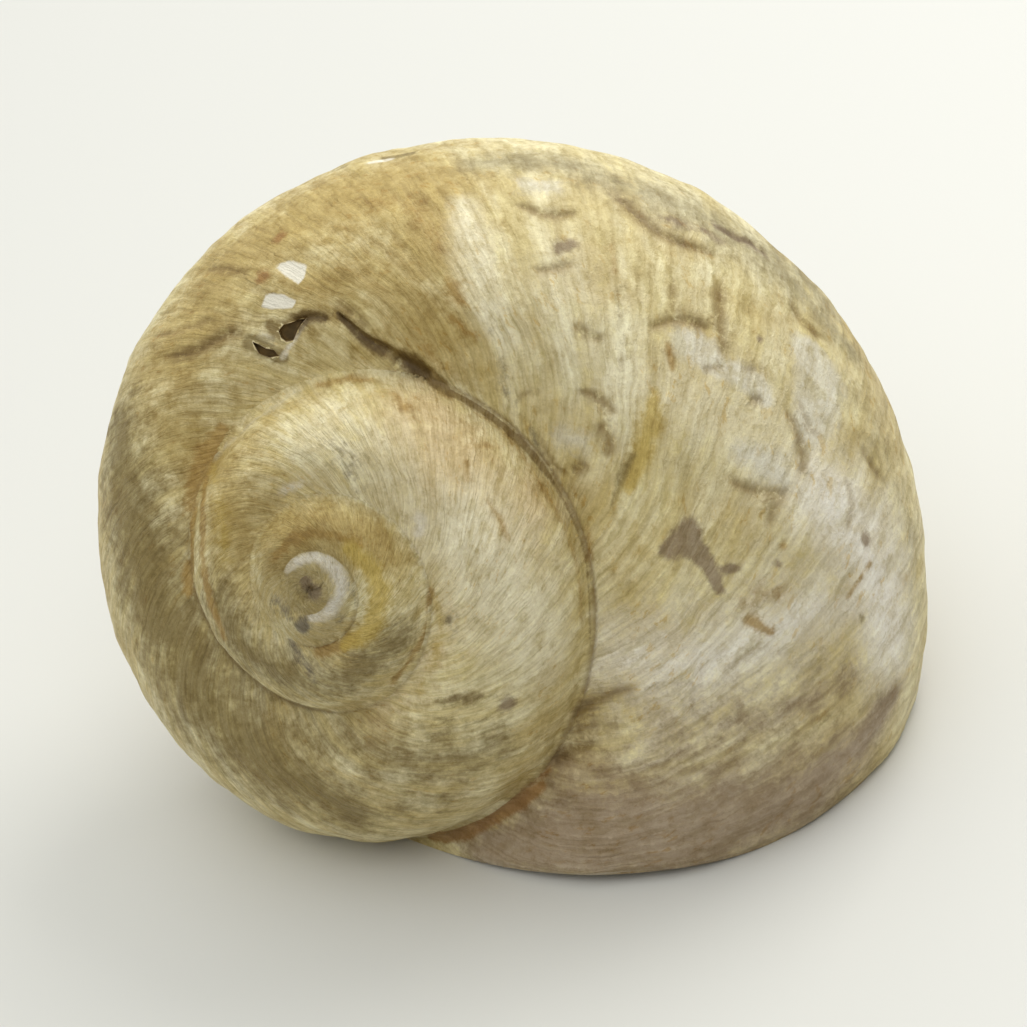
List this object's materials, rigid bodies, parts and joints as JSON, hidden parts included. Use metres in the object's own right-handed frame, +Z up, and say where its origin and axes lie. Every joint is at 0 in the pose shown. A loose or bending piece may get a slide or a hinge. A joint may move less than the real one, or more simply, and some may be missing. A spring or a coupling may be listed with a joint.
{
  "type": "moon snail shell",
  "caption": "Weathered globular moon snail shell with a low spire, a small break in its wall and a wide open mouth, lying mouth down.",
  "frame": {"origin": "middle of the shell's bounding box, on the plane it rests on", "axes": "+Z up, +X along the shell's longest extent, -Y towards the side where the spire shows"},
  "size_m": [0.0594, 0.0416, 0.0426],
  "materials": {
    "shell": "satin, weathered, tan to olive and grey with fine growth lines"
  },
  "bodies": {
    "root": {"shell": "shell"}
  },
  "joints": []
}
